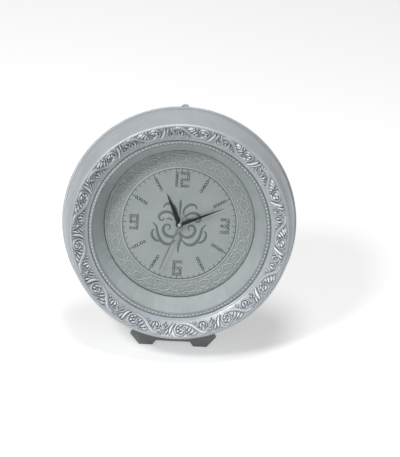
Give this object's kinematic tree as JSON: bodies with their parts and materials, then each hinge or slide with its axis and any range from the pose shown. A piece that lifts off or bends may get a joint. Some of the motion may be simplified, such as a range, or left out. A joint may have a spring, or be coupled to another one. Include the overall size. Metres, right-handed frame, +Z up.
{
  "type": "round quartz clock with stand",
  "caption": "Round quartz clock with a deep dished silver front, carved scroll border, bead ring, stone markers, hands over an inner movement, low feet and a folding rear leg.",
  "frame": {"origin": "on the floor under the middle of the bounding box", "axes": "+Z up, +X to the right as seen from the front, the dial faces -Y and leans back"},
  "size_m": [0.3, 0.1408, 0.3104],
  "materials": {
    "shell_silver": "satin pale blue-grey silver",
    "bead_silver": "bright satin silver",
    "dial_grey": "fine embossed silver grey",
    "stone_clear": "cut clear stones in dark settings",
    "hand_black": "satin black",
    "hand_silver": "satin silver grey",
    "case_black": "fine matt black",
    "wheel_white": "natural white moulding",
    "brass": "plain turned",
    "steel": "plain",
    "rubber_black": "matt",
    "copper_wire": "enamelled winding",
    "board_green": "green lacquered board",
    "battery_jacket": "plain green jacket",
    "panel_dark": "dark grey fine grain",
    "foot_grey": "dark grey moulding"
  },
  "bodies": {
    "clock": {"front_shell": "shell_silver", "reflector_cone": "shell_silver", "bead_ring": "bead_silver", "dial": "dial_grey", "marker_1": "stone_clear", "marker_2": "stone_clear", "marker_3": "stone_clear", "marker_4": "stone_clear", "marker_5": "stone_clear", "marker_6": "stone_clear", "marker_7": "stone_clear", "marker_8": "stone_clear", "marker_9": "stone_clear", "marker_10": "stone_clear", "marker_11": "stone_clear", "marker_12": "stone_clear", "movement_case": "case_black", "movement_cover": "case_black", "rubber_washer": "rubber_black", "brass_washer": "brass", "fixing_nut": "brass", "stator": "steel", "coil": "copper_wire", "circuit_board": "board_green", "quartz_crystal": "steel", "battery": "battery_jacket", "battery_contact_plus": "steel", "battery_contact_minus": "steel", "back_panel": "panel_dark", "panel_screw_1": "steel", "panel_screw_2": "steel", "panel_screw_3": "steel", "panel_screw_4": "steel", "stand_foot": "foot_grey", "hinge_bracket": "foot_grey", "hinge_pin": "steel", "hanging_tab": "steel"},
    "minute_group": {"centre_wheel": "wheel_white", "minute_hand": "hand_black"},
    "hour_group": {"hour_wheel": "wheel_white", "hour_hand": "hand_black"},
    "minute_wheel_group": {"minute_wheel": "wheel_white"},
    "knob_group": {"setting_knob": "wheel_white"},
    "second_group": {"second_wheel": "wheel_white", "second_hand": "hand_silver"},
    "intermediate_group": {"intermediate_wheel": "wheel_white"},
    "rotor_group": {"rotor": "wheel_white"},
    "third_group": {"third_wheel": "wheel_white"},
    "leg": {"prop_leg": "foot_grey"}
  },
  "joints": [
    {"name": "minute_spin", "type": "hinge", "parent": "clock", "child": "minute_group", "pos_m": [0, 0.01331, 0.16351], "axis": [0, -0.9613, 0.2756], "continuous": true},
    {"name": "hour_spin", "type": "hinge", "parent": "clock", "child": "hour_group", "pos_m": [0, 0.01331, 0.16351], "axis": [0, -0.9613, 0.2756], "continuous": true},
    {"name": "minute_wheel_spin", "type": "hinge", "parent": "clock", "child": "minute_wheel_group", "pos_m": [0.00866, 0.01468, 0.16832], "axis": [0, -0.9613, 0.2756], "continuous": true},
    {"name": "knob_spin", "type": "hinge", "parent": "clock", "child": "knob_group", "pos_m": [0.01391, 0.01719, 0.17706], "axis": [0, -0.9613, 0.2756], "continuous": true},
    {"name": "second_spin", "type": "hinge", "parent": "clock", "child": "second_group", "pos_m": [0, 0.01331, 0.16351], "axis": [0, -0.9613, 0.2756], "continuous": true},
    {"name": "intermediate_spin", "type": "hinge", "parent": "clock", "child": "intermediate_group", "pos_m": [-0.00084, 0.01596, 0.17276], "axis": [0, -0.9613, 0.2756], "continuous": true},
    {"name": "rotor_spin", "type": "hinge", "parent": "clock", "child": "rotor_group", "pos_m": [-0.00084, 0.01824, 0.18072], "axis": [0, -0.9613, 0.2756], "continuous": true},
    {"name": "third_spin", "type": "hinge", "parent": "clock", "child": "third_group", "pos_m": [-0.00936, 0.014, 0.16592], "axis": [0, -0.9613, 0.2756], "continuous": true},
    {"name": "leg_fold", "type": "hinge", "parent": "clock", "child": "leg", "pos_m": [0, 0.02127, 0.11546], "axis": [1, 0, 0], "range_deg": [-33.5, 0]}
  ],
  "couplings": [
    {"joint": "hour_spin", "follows": "minute_spin", "ratio": 0.083333},
    {"joint": "minute_wheel_spin", "follows": "minute_spin", "ratio": -0.33333},
    {"joint": "knob_spin", "follows": "minute_spin", "ratio": 0.83333},
    {"joint": "intermediate_spin", "follows": "second_spin", "ratio": -6},
    {"joint": "rotor_spin", "follows": "second_spin", "ratio": 30},
    {"joint": "third_spin", "follows": "second_spin", "ratio": -0.13333}
  ]
}
